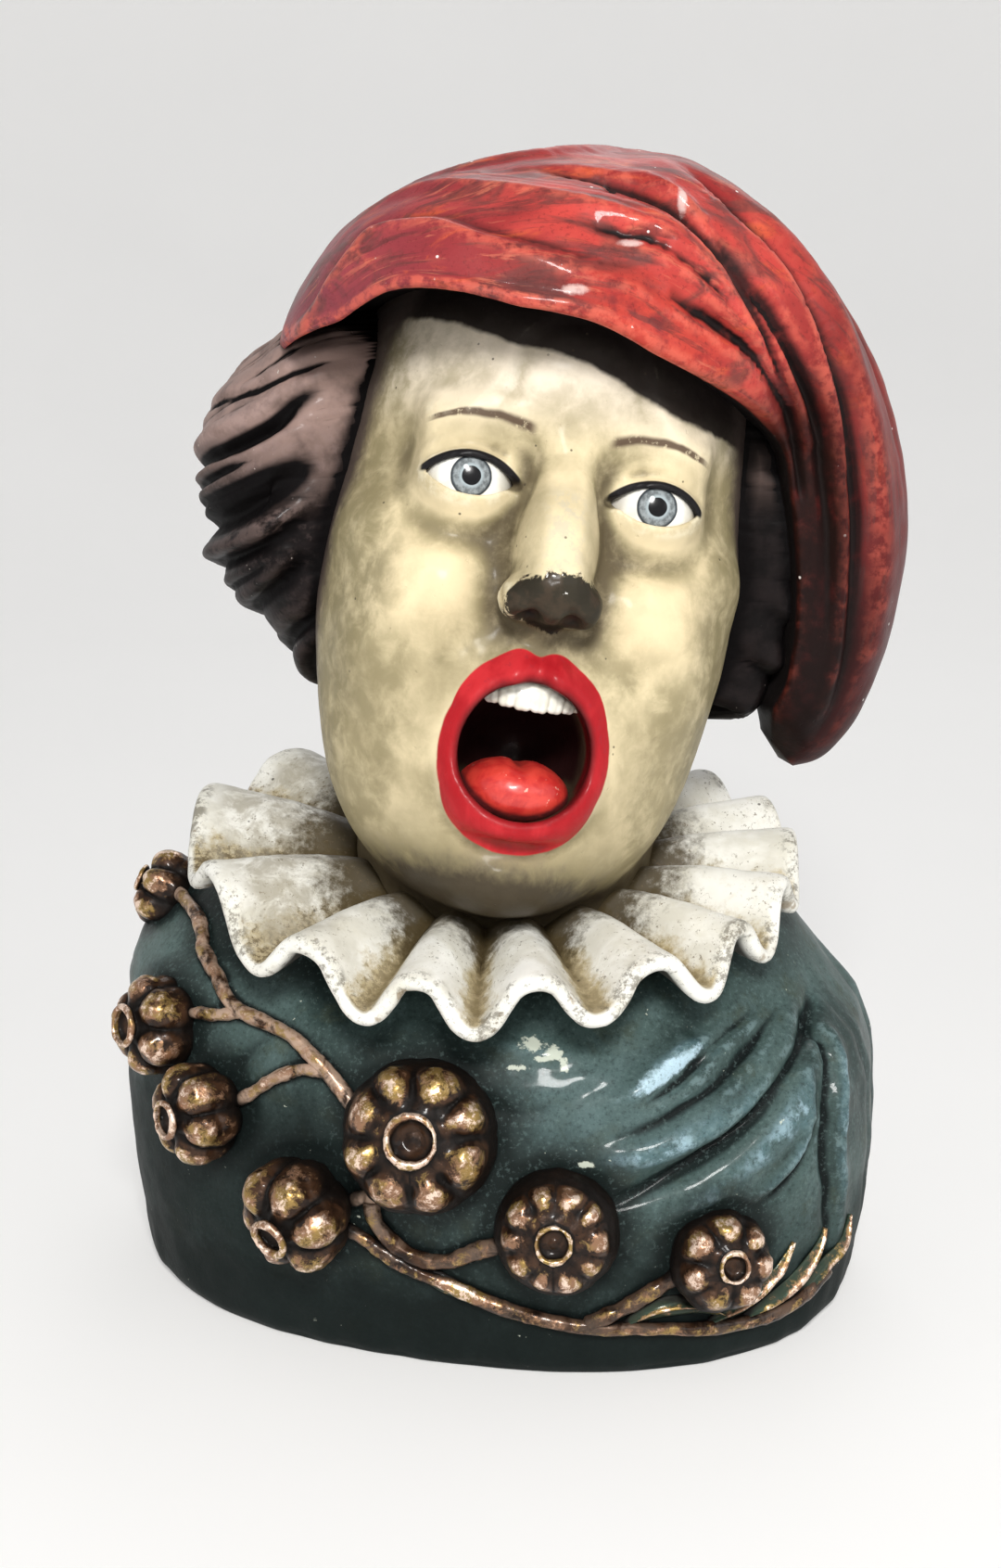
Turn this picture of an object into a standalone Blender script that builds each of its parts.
"""Apothecary gaper head: a carved and painted trade-sign bust with an open mouth.

A head leans over to one side and looks a little up. It wears a soft cap wound round
the head, with a tail that hangs down one side, and thick hair. Below it are a goffered
ruff, a draped cloak and a branch of seed pods across the chest. The whole work is
carved as one block, so it is one solid.

Sizes are in millimetres and become metres when a mesh is made. +Z is up, the face
looks along -Y, and +X is the side that the cap's tail hangs on.
"""

import math

import bmesh
import bpy
import numpy as np
from mathutils import Matrix, Vector

MM = 0.001

# --- driving sizes (mm, degrees) ------------------------------------------------
# plan of the bust: a blunt oval, turned a little about the upright axis
PLAN_CENTRE = (0.0, 17.0)
PLAN_RIGHT, PLAN_LEFT, PLAN_FRONT, PLAN_BACK = 141.0, 143.0, 107.0, 86.0
PLAN_POWER = 2.3
PLAN_TURN = -14.5
BASE_SHRINK = 0.955  # the foot against the widest plan
SHOULDER_MEAN, SHOULDER_SIDE, SHOULDER_FRONT = 127.0, 9.5, 14.0

# head: its centre is midway between the ears, at the height of the eyes
HEAD_CENTRE = (13.0, 12.0, 292.0)
HEAD_ROLL, HEAD_BACK, HEAD_YAW = 10.0, 10.0, 6.0
NECK_RADIUS = 58.0

# cap
CAP_CENTRE = (22.0, 14.0, 340.0)
CAP_RADII = (103.0, 104.0, 77.0)
CAP_EDGE = (327.0, -0.267, -0.415)  # height of the cap's lower edge over x and y
CAP_FOLD = 6.0
CAP_FOLD_STEP = 17.8  # degrees about the line from temple to temple

# ruff
RUFF_CENTRE = (-2.0, 4.0)
RUFF_INNER, RUFF_OUTER = 52.0, 113.0
RUFF_PLEATS = 18
RUFF_PHASE = -3.0
RUFF_DEPTH_INNER, RUFF_DEPTH_OUTER = 6.0, 17.0
RUFF_SHEET = 5.5

# whole solid
VOXEL = 2.6
TRIANGLES = 9600
SHIFT = (-2.0, -2.85, 0.0)  # brings the middle of the underside's box to the origin


# --- making shapes --------------------------------------------------------------
def clear_scene():
    for obj in list(bpy.data.objects):
        bpy.data.objects.remove(obj, do_unlink=True)


def link(obj, collection=None):
    """Put an object in one collection alone, or in none."""
    for other in list(obj.users_collection):
        other.objects.unlink(obj)
    if collection:
        collection.objects.link(obj)
    return obj


def reshaped_ball(name, place, segments=32, rings=18):
    """A UV sphere whose every point is put at place(azimuth, polar), in mm.

    Azimuth runs from the front (-Y) towards +X, and polar from the top down.
    """
    bm = bmesh.new()
    bmesh.ops.create_uvsphere(bm, u_segments=segments, v_segments=rings, radius=1.0)
    co = np.array([v.co[:] for v in bm.verts])
    azimuth = np.arctan2(co[:, 0], -co[:, 1])
    polar = np.arccos(np.clip(co[:, 2], -1, 1))
    placed = place(azimuth, polar) * MM
    for vert, p in zip(bm.verts, placed):
        vert.co = p
    bmesh.ops.recalc_face_normals(bm, faces=bm.faces)
    mesh = bpy.data.meshes.new(name)
    bm.to_mesh(mesh)
    bm.free()
    return bpy.data.objects.new(name, mesh)


def ball(name, centre, radii, frame=None, segments=28, rings=16):
    """An ellipsoid, in the bust's frame or in the head's frame."""

    def place(azimuth, polar):
        p = np.stack(
            [
                radii[0] * np.sin(azimuth) * np.sin(polar),
                -radii[1] * np.cos(azimuth) * np.sin(polar),
                radii[2] * np.cos(polar),
            ],
            axis=1,
        ) + np.array(centre)
        return frame(p) if frame else p

    return reshaped_ball(name, place, segments, rings)


def smooth_path(points, n):
    """n points on a Catmull-Rom curve through the given ones."""
    pts = np.array(points, float)
    pts = np.vstack([2 * pts[0] - pts[1], pts, 2 * pts[-1] - pts[-2]])
    spans = len(pts) - 3
    out = []
    for t in np.linspace(0, spans, n):
        i = min(int(t), spans - 1)
        f = t - i
        a, b, c, d = pts[i : i + 4]
        out.append(
            0.5
            * (
                2 * b
                + (c - a) * f
                + (2 * a - 5 * b + 4 * c - d) * f * f
                + (3 * b - a - 3 * c + d) * f**3
            )
        )
    return np.array(out)


def swept(name, points, half, across, segments=20, rings=28, ridge=None):
    """A closed, round-ended form along a smooth path.

    half(t) gives its half width and half thickness, and across is the direction of
    the width. ridge(t, angle) scales the section, for folds that run lengthwise.
    """
    path = smooth_path(points, 200)
    steps = np.linspace(0, 1, 200)

    def place(azimuth, polar):
        t = np.clip(0.5 - 0.5 * np.cos(polar), 0, 1)
        centre = np.stack([np.interp(t, steps, path[:, i]) for i in range(3)], axis=1)
        ahead = np.stack(
            [np.interp(t + 0.01, steps, path[:, i]) for i in range(3)], axis=1
        )
        behind = np.stack(
            [np.interp(t - 0.01, steps, path[:, i]) for i in range(3)], axis=1
        )
        along = ahead - behind
        along /= np.linalg.norm(along, axis=1, keepdims=True)
        wide = np.array(across, float)
        wide = wide - (along @ wide)[:, None] * along
        wide /= np.linalg.norm(wide, axis=1, keepdims=True)
        thick = np.cross(along, wide)
        a, b = half(t)
        ends = np.sin(polar) ** 0.5
        scale = ridge(t, azimuth) if ridge else 1.0
        return (
            centre
            + wide * (a * ends * scale * np.cos(azimuth))[:, None]
            + thick * (b * ends * scale * np.sin(azimuth))[:, None]
        )

    return reshaped_ball(name, place, segments, rings)


def wire(name, points, radius, taper=0.6, sides=2):
    """A round stem: a curve with a bevel and filled caps, made into a mesh."""
    path = smooth_path(points, 6 * len(points))
    data = bpy.data.curves.new(name, "CURVE")
    data.dimensions = "3D"
    data.bevel_depth = radius * MM
    data.bevel_resolution = sides
    data.use_fill_caps = True
    spline = data.splines.new("POLY")
    spline.points.add(len(path) - 1)
    for i, p in enumerate(path):
        spline.points[i].co = (*(p * MM), 1.0)
        spline.points[i].radius = 1.0 + (taper - 1.0) * i / (len(path) - 1)
    curve = bpy.data.objects.new(name + "_line", data)
    bpy.context.scene.collection.objects.link(curve)
    graph = bpy.context.evaluated_depsgraph_get()
    mesh = bpy.data.meshes.new_from_object(curve.evaluated_get(graph))
    bm = bmesh.new()
    bm.from_mesh(mesh)
    bmesh.ops.remove_doubles(bm, verts=bm.verts, dist=1e-6)
    bmesh.ops.recalc_face_normals(bm, faces=bm.faces)
    bm.to_mesh(mesh)
    bm.free()
    bpy.data.objects.remove(curve, do_unlink=True)
    mesh.name = name
    return bpy.data.objects.new(name, mesh)


def fused(name, objects, voxel, collection):
    """One mesh out of closed shapes that overlap, made by a voxel remesh."""
    bm = bmesh.new()
    for obj in objects:
        bm.from_mesh(obj.data)
        bpy.data.objects.remove(obj, do_unlink=True)
    mesh = bpy.data.meshes.new(name)
    bm.to_mesh(mesh)
    bm.free()
    obj = link(bpy.data.objects.new(name, mesh), collection)
    remesh = obj.modifiers.new("fuse", "REMESH")
    remesh.mode = "VOXEL"
    remesh.voxel_size = voxel * MM
    smooth = obj.modifiers.new("ease", "SMOOTH")
    smooth.factor = 0.4
    smooth.iterations = 1
    return applied(obj)


def applied(obj):
    """The object with its modifiers made part of its mesh."""
    graph = bpy.context.evaluated_depsgraph_get()
    mesh = bpy.data.meshes.new_from_object(obj.evaluated_get(graph))
    obj.modifiers.clear()
    obj.data = mesh
    return obj


# --- the head's own frame -------------------------------------------------------
def turn(axis, degrees):
    return np.array(Matrix.Rotation(math.radians(degrees), 3, axis))


HEAD_TURN = turn("Z", HEAD_YAW) @ turn("X", -HEAD_BACK) @ turn("Y", HEAD_ROLL)


def in_head(p):
    """Points of the head's own frame, put in the bust's frame."""
    return np.asarray(p, float) @ HEAD_TURN.T + np.array(HEAD_CENTRE)


# --- cloak ----------------------------------------------------------------------
def plan_radius(azimuth):
    """Distance from the plan's centre to its outline."""
    turned = math.radians(PLAN_TURN)
    dx, dy = np.sin(azimuth), -np.cos(azimuth)
    u = dx * math.cos(turned) + dy * math.sin(turned)
    v = -dx * math.sin(turned) + dy * math.cos(turned)
    a = np.where(u > 0, PLAN_RIGHT, PLAN_LEFT)
    b = np.where(v < 0, PLAN_FRONT, PLAN_BACK)
    return (np.abs(u / a) ** PLAN_POWER + np.abs(v / b) ** PLAN_POWER) ** (
        -1 / PLAN_POWER
    )


def shoulder_height(azimuth):
    """The shoulders are higher on the head's far side and lower at the chest."""
    return (
        SHOULDER_MEAN
        - SHOULDER_SIDE * np.sin(azimuth)
        - SHOULDER_FRONT * np.cos(azimuth)
    )


def swag(azimuth, z):
    """How far the cloak's folds stand out: curved swags from the +X shoulder."""
    lift = np.zeros_like(z)
    degrees = np.degrees(azimuth)
    for start, end, sag, height in (
        ((66, 116), (16, 96), -3, 4.0),
        ((64, 104), (18, 74), -12, 6.0),
        ((60, 92), (26, 58), -14, 6.0),
    ):
        f = np.clip((degrees - end[0]) / (start[0] - end[0]), -0.3, 1.3)
        line = end[1] + (start[1] - end[1]) * f + sag * 4 * f * (1 - f)
        fade = np.clip(1.15 - np.abs(2 * f - 1), 0, 1)
        lift += height * fade * np.exp(-(((z - line) / 7.0) ** 2))
    return lift


def ruff_floor(x, y):
    """Height of the ruff's valleys: it drops at the front and is level behind."""
    return 160.0 - 0.05 * x + 0.17 * y - 0.14 * (np.sqrt(y**2 + 30.0**2) - 30.0)


def cloak_point(azimuth, polar):
    """The cloak: flat foot, upright side, round shoulder, and a rise to the ruff."""
    high = shoulder_height(azimuth)
    # along the outline, from the top's middle down to the foot's middle:
    # share of the plan's radius, drop below the shoulder, share of the rise
    line = (
        (0.00, 0.00, 0.0, 1.00),
        (0.14, 0.52, 0.0, 1.00),
        (0.22, 0.72, 0.0, 1.00),
        (0.27, 0.78, 0.0, 0.83),
        (0.32, 0.84, 0.0, 0.50),
        (0.37, 0.90, 0.0, 0.20),
        (0.41, 0.95, 1.5, 0.00),
        (0.45, 0.985, 8.0, 0.00),
        (0.49, 1.015, 22.0, 0.00),
    )
    s = polar / math.pi
    side = ((0.60, 1.03, 0.55), (0.72, 1.02, 0.3))
    foot = ((0.85, 1.0, 16.0), (0.89, 0.985, 5.0), (0.92, 0.955, -6.0), (1.0, 0.0, -6.0))
    knots = [row[0] for row in line] + [row[0] for row in side] + [row[0] for row in foot]
    share = np.interp(
        s,
        knots,
        [row[1] for row in line] + [row[1] for row in side] + [row[1] for row in foot],
    )
    radius = plan_radius(azimuth) * share
    x = PLAN_CENTRE[0] + radius * np.sin(azimuth)
    y = PLAN_CENTRE[1] - radius * np.cos(azimuth)
    rise = ruff_floor(x, y) - 4.0 - high
    rows = [high - row[2] + rise * row[3] for row in line]
    rows += [high * row[2] for row in side]
    rows += [np.full(len(s), row[2]) for row in foot]
    rows = np.stack(rows)
    index = np.clip(np.searchsorted(knots, s, side="right") - 1, 0, len(knots) - 2)
    knots = np.array(knots)
    f = (s - knots[index]) / (knots[index + 1] - knots[index])
    at = np.arange(len(s))
    z = rows[index, at] * (1 - f) + rows[index + 1, at] * f
    upright = np.clip((s - 0.3) / 0.1, 0, 1) * np.clip((0.88 - s) / 0.1, 0, 1)
    out = swag(azimuth, z) * upright
    return np.stack([x + out * np.sin(azimuth), y - out * np.cos(azimuth), z], axis=1)


def on_cloak(degrees, z, out=0.0):
    """A point on the cloak's side at an azimuth and a height, out mm proud of it."""
    a = np.array([math.radians(degrees)])
    high = float(shoulder_height(a)[0])
    factor = float(
        np.interp(
            z,
            [0, 5, 16, high * 0.3, high * 0.55, high - 22, high - 8, high],
            [0.955, 0.985, 1.0, 1.02, 1.03, 1.015, 0.975, 0.88],
        )
    )
    r = float(plan_radius(a)[0]) * factor + out
    return Vector(
        (PLAN_CENTRE[0] + r * math.sin(a[0]), PLAN_CENTRE[1] - r * math.cos(a[0]), z)
    )


# --- ruff -----------------------------------------------------------------------
def ruff_mid(theta, share):
    """The middle of the ruff's sheet, from the neck (share 0) to its edge (share 1)."""
    phase = RUFF_PLEATS * (theta - math.radians(RUFF_PHASE)) / 2
    blunt = 0.02 + 0.12 * share  # valleys are narrow at the neck, rounder at the edge
    wave = np.sqrt(np.sin(phase) ** 2 + blunt) - np.sqrt(blunt)
    wave /= np.sqrt(1 + blunt) - np.sqrt(blunt)
    radius = RUFF_INNER + (RUFF_OUTER - RUFF_INNER) * share - 2.5 * wave * share
    x = RUFF_CENTRE[0] + radius * np.sin(theta)
    y = RUFF_CENTRE[1] - radius * np.cos(theta)
    depth = RUFF_DEPTH_INNER + (RUFF_DEPTH_OUTER - RUFF_DEPTH_INNER) * share
    z = ruff_floor(x, y) + wave * depth
    return np.stack([x, y, z], axis=-1)


def ruff():
    """An open corrugated sheet round the neck, given its thickness by Solidify."""
    around, out = RUFF_PLEATS * 10, 6
    bm = bmesh.new()
    rows = []
    for j in range(out + 1):
        share = np.full(around, j / out)
        theta = np.linspace(-math.pi, math.pi, around, endpoint=False)
        rows.append([bm.verts.new(p * MM) for p in ruff_mid(theta, share)])
    for j in range(out):
        for i in range(around):
            k = (i + 1) % around
            bm.faces.new((rows[j][i], rows[j][k], rows[j + 1][k], rows[j + 1][i]))
    bmesh.ops.recalc_face_normals(bm, faces=bm.faces)
    mesh = bpy.data.meshes.new("ruff")
    bm.to_mesh(mesh)
    bm.free()
    obj = bpy.data.objects.new("ruff", mesh)
    bpy.context.scene.collection.objects.link(obj)
    thick = obj.modifiers.new("sheet", "SOLIDIFY")
    thick.thickness = RUFF_SHEET * MM
    thick.offset = 0.0
    return applied(obj)


# --- cap ------------------------------------------------------------------------
def cap_point(azimuth, polar):
    """An oval cushion with rolled folds that run from one temple to the other."""
    unit = np.stack(
        [
            np.sin(azimuth) * np.sin(polar),
            -np.cos(azimuth) * np.sin(polar),
            np.cos(polar),
        ],
        axis=1,
    )
    axis = np.array([0.965, -0.10, -0.24])
    axis /= np.linalg.norm(axis)
    up = np.array([0.0, 0.0, 1.0]) - axis[2] * axis
    up /= np.linalg.norm(up)
    front = np.cross(axis, up)
    across = unit @ axis  # -1 at the far temple, +1 where the tail gathers
    turned = np.degrees(np.arctan2(unit @ up, unit @ front))
    fold = np.abs(np.sin(np.radians((turned - 15.0) * 180.0 / CAP_FOLD_STEP)))
    fold = np.where(turned < 15.0, 0.6, fold)
    depth = CAP_FOLD * (0.75 + 0.5 * across) * np.clip(1 - across**2, 0, 1) ** 0.7
    p = np.array(CAP_CENTRE) + unit * (
        np.array(CAP_RADII) + (depth * (fold - 0.75))[:, None]
    )
    edge = CAP_EDGE[0] + CAP_EDGE[1] * p[:, 0] + CAP_EDGE[2] * p[:, 1]
    below = p[:, 2] < edge
    p[:, 2] = np.where(below, edge - 0.02 * (edge - p[:, 2]), p[:, 2])
    return p


def cap_tail(name):
    """The cap's loose end: a broad fold that falls from the crown down one side."""
    path = [
        (46, 8, 384),
        (82, 8, 374),
        (109, 9, 346),
        (124, 10, 314),
        (130, 10, 290),
        (130, 10, 266),
        (126, 10, 240),
        (118, 10, 214),
        (110, 10, 199),
    ]

    def half(t):
        wide = np.interp(t, [0, 0.3, 0.5, 0.75, 0.92, 1], [40, 50, 50, 38, 26, 16])
        thick = np.interp(t, [0, 0.3, 0.55, 0.75, 0.92, 1], [20, 21, 19, 17, 16, 11])
        return wide, thick

    def ridge(t, angle):
        return 1 + 0.08 * np.cos(7 * angle + 0.6) * np.clip(3 * t, 0, 1)

    return swept(name, path, half, (0, 1, 0), 42, 40, ridge)


# --- hair -----------------------------------------------------------------------
def hair_mass(name, centre, radii, roll, grooves, depth, phase=0.0):
    """A puff of hair combed backwards, with rolled locks that run round it."""
    leaning = turn("Y", roll)

    def place(azimuth, polar):
        swing = 0.35 * np.sin(azimuth * 2)
        lock = np.abs(np.sin(grooves * (polar + swing) / 2 + phase))
        scale = 1 + depth * (lock - 0.6) * np.sin(polar)
        p = np.stack(
            [
                radii[0] * np.sin(azimuth) * np.sin(polar),
                -radii[1] * np.cos(azimuth) * np.sin(polar),
                radii[2] * np.cos(polar),
            ],
            axis=1,
        )
        return (p * scale[:, None]) @ leaning.T + np.array(centre)

    return reshaped_ball(name, place, 40, 64)


def hair():
    return [
        ball("nape", (14, 34, 290), (84, 78, 76)),
        hair_mass("nape_low", (4, 46, 236), (68, 52, 54), 0, 12, 0.06),
        hair_mass("puff", (-66, 24, 298), (47, 58, 56), 4, 15, 0.09),
        hair_mass("puff_low", (-56, 26, 250), (33, 44, 36), 14, 11, 0.09),
        hair_mass("far_side", (84, 14, 274), (30, 48, 64), 4, 14, 0.06, 0.8),
    ]


# --- face: plain proportions of an adult head, jaw dropped -----------------------
EYE_Z, EYE_X = -2.0, 31.0
MOUTH_Z, MOUTH_HALF_X, MOUTH_HALF_Z = -88.0, 30.0, 28.0


def head_solids():
    """The flesh of the head, blended by the voxel remesh."""
    shapes = [
        ("skull", (0, 14, 26), (77, 94, 86)),
        ("forehead", (0, -20, 36), (69, 68, 54)),
        ("face", (0, -20, -20), (74, 62, 78)),
        ("jaw", (0, -18, -84), (60, 56, 52)),
        ("chin", (0, -54, -118), (27, 26, 20)),
        ("cheek_r", (40, -44, -32), (30, 34, 30)),
        ("cheek_l", (-40, -44, -32), (30, 34, 30)),
        ("jowl_r", (40, -40, -76), (22, 34, 38)),
        ("jowl_l", (-40, -40, -76), (22, 34, 38)),
        ("muzzle", (0, -54, -84), (44, 34, 46)),
        ("brow_r", (27, -72, 18), (26, 17, 8)),
        ("brow_l", (-27, -72, 18), (26, 17, 8)),
        ("nose_root", (0, -76, 6), (10, 14, 20)),
        ("nose_ridge", (0, -88, -18), (9, 15, 20)),
        ("nose_tip", (0, -96, -34), (12, 16, 11)),
        ("nostril_r", (12, -88, -39), (8, 12, 7)),
        ("nostril_l", (-12, -88, -39), (8, 12, 7)),
        ("eye_r", (EYE_X, -65, EYE_Z), (17, 17, 13)),
        ("eye_l", (-EYE_X, -65, EYE_Z), (17, 17, 13)),
    ]
    return [ball(n, c, r, in_head, 26, 15) for n, c, r in shapes]


def lips():
    """A ring of lip round the open mouth."""
    bpy.ops.mesh.primitive_torus_add(
        major_segments=36, minor_segments=10, major_radius=1.0, minor_radius=0.21
    )
    obj = bpy.context.object
    obj.name = "lips"
    co = np.array([v.co[:] for v in obj.data.vertices])
    x, z = MOUTH_HALF_X * co[:, 0], MOUTH_HALF_Z * co[:, 1]
    y = -86 + x**2 / 110 + 27 * co[:, 2] + 0.08 * (z - 10)
    placed = in_head(np.stack([x, y, MOUTH_Z + z], axis=1)) * MM
    for vert, p in zip(obj.data.vertices, placed):
        vert.co = p
    return link(obj)


# --- the branch of seed pods ------------------------------------------------------
def pod(name, centre, facing, radius, lobes, turn_degrees=0.0):
    """A ribbed seed pod: plump lobes round a raised ring with a hole in it."""
    normal = Vector(facing).normalized()
    spin = normal.to_track_quat("Z", "Y").to_matrix()
    spin = np.array(spin)

    def place(azimuth, polar):
        knots = np.array([0, 0.05, 0.09, 0.13, 0.18, 0.24, 0.3, 0.42, 0.52, 0.62, 0.74, 0.88, 1.0]) * math.pi
        rho = np.interp(polar, knots, [0, 0.16, 0.2, 0.27, 0.34, 0.4, 0.5, 0.82, 0.97, 1.0, 0.86, 0.5, 0.0])
        rise = np.interp(polar, knots, [0.34, 0.34, 0.56, 0.66, 0.6, 0.38, 0.42, 0.46, 0.2, -0.1, -0.5, -0.85, -0.95])
        lobe = np.abs(np.cos(lobes * (azimuth + math.radians(turn_degrees)) / 2)) ** 0.7
        rim = np.clip((polar / math.pi - 0.22) / 0.1, 0, 1) * np.clip((0.98 - polar / math.pi) / 0.3, 0, 1)
        depth = rim * (1 - lobe)
        rho = rho * (1 - 0.17 * depth)
        rise = rise * (1 - 0.5 * depth * (rise > 0))
        local = np.stack(
            [rho * np.sin(azimuth), -rho * np.cos(azimuth), rise], axis=1
        ) * radius
        return local @ spin.T + np.array(centre)

    return reshaped_ball(name, place, 12 * lobes // 2, 26)


PODS = (
    # azimuth, height, radius, lobes, stand-off, facing
    (-90, 146, 12.5, 6, 3, (-0.75, -0.45, 0.5)),
    (-68, 110, 15.5, 7, 5, (-0.85, -0.5, 0.12)),
    (-54, 85, 17.5, 7, 7, (-0.85, -0.52, -0.02)),
    (-35, 57, 20.0, 8, 9, (-0.66, -0.62, -0.42)),
    (-14, 92, 27.5, 8, 9, (-0.22, -0.97, 0.06)),
    (8.5, 60, 22.0, 10, 7, (-0.04, -0.99, -0.08)),
    (33.5, 46, 18.0, 8, 6, (0.28, -0.95, 0.1)),
)
STEMS = (
    # (azimuth, height) along the stem, radius
    (((-86, 147), (-68, 146), (-62, 130), (-51, 122), (-38, 116), (-28, 100), (-20, 94)), 3.6),
    (((-49, 121), (-58, 117), (-67, 111)), 3.2),
    (((-31, 105), (-37, 100), (-41, 93), (-52, 86)), 3.2),
    (((-22, 76), (-24, 60), (-20, 45), (-12, 40), (-3, 47), (5, 55)), 3.4),
    (((-33, 52), (-26, 50), (-18, 42), (-10, 35), (2, 26), (12, 22), (24, 20), (36, 17), (47, 22), (57, 35)), 3.6),
    (((14, 23), (22, 35), (30, 42)), 3.2),
    (((38, 18), (43, 29), (49, 41)), 3.2),
)


def branch():
    made = []
    for i, (azimuth, z, radius, lobes, out, facing) in enumerate(PODS):
        made.append(
            pod(f"pod_{i}", on_cloak(azimuth, z, out), facing, radius, lobes, 11 * i)
        )
    for i, (line, radius) in enumerate(STEMS):
        made.append(
            wire(f"stem_{i}", [on_cloak(a, z, radius * 0.6) for a, z in line], radius, 0.8)
        )
    return made


# --- the whole carving ------------------------------------------------------------
def shade(obj):
    material = bpy.data.materials.new("painted_wood")
    material.use_nodes = True
    shader = material.node_tree.nodes["Principled BSDF"]
    shader.inputs["Base Color"].default_value = (0.42, 0.32, 0.22, 1)
    shader.inputs["Roughness"].default_value = 0.45
    shader.inputs["Metallic"].default_value = 0.0
    obj.data.materials.clear()
    obj.data.materials.append(material)
    obj.data.shade_smooth()
    obj.data.set_sharp_from_angle(angle=math.radians(50))


def cut(obj, cutter, name):
    boolean = obj.modifiers.new(name, "BOOLEAN")
    boolean.operation = "DIFFERENCE"
    boolean.object = cutter
    return obj


def build():
    clear_scene()
    work = bpy.data.collections.new("apothecary_gaper_head")
    cutters = bpy.data.collections.new("cutters")
    bpy.context.scene.collection.children.link(work)
    bpy.context.scene.collection.children.link(cutters)
    cutters.hide_render = True

    # flesh, with the open mouth cut out of it
    flesh = head_solids() + [
        lips(),
        swept(
            "neck",
            [(13, 20, 250), (6, 12, 205), (0, 8, 160), (0, 8, 110)],
            lambda t: (NECK_RADIUS + 6 * t, NECK_RADIUS + 4 * t),
            (1, 0, 0),
            28,
            16,
        ),
    ]
    head = fused("head", flesh, VOXEL * 0.9, work)
    mouth = link(
        ball("mouth_cutter", (0, -80, MOUTH_Z), (24.5, 34, 22.5), in_head, 32, 18),
        cutters,
    )
    mouth.hide_render = True
    mouth.display_type = "WIRE"
    head = applied(cut(head, mouth, "mouth"))

    parts = [
        head,
        ball("tongue", (0, -70, MOUTH_Z - 17), (17.5, 24, 10), in_head, 24, 14),
        reshaped_ball("cloak", cloak_point, 96, 60),
        ruff(),
        reshaped_ball("cap", cap_point, 96, 56),
        cap_tail("cap_tail"),
        *hair(),
        *branch(),
    ]
    gaper = fused("gaper_head", parts, VOXEL, work)

    # fewer, larger facets, then the flat underside
    thin = gaper.modifiers.new("facets", "DECIMATE")
    thin.ratio = TRIANGLES / (2 * len(gaper.data.polygons))
    gaper = applied(gaper)
    bpy.ops.mesh.primitive_cube_add(size=1.0, location=(0, 0, -0.05))
    floor = bpy.context.object
    floor.name = "underside_cutter"
    floor.scale = (0.6, 0.6, 0.1)
    link(floor, cutters)
    floor.hide_render = True
    floor.display_type = "WIRE"
    cut(gaper, floor, "underside")
    gaper = applied(gaper)
    gaper.data.transform(Matrix.Translation(Vector(SHIFT) * MM))
    shade(gaper)
    return gaper


gaper = build()
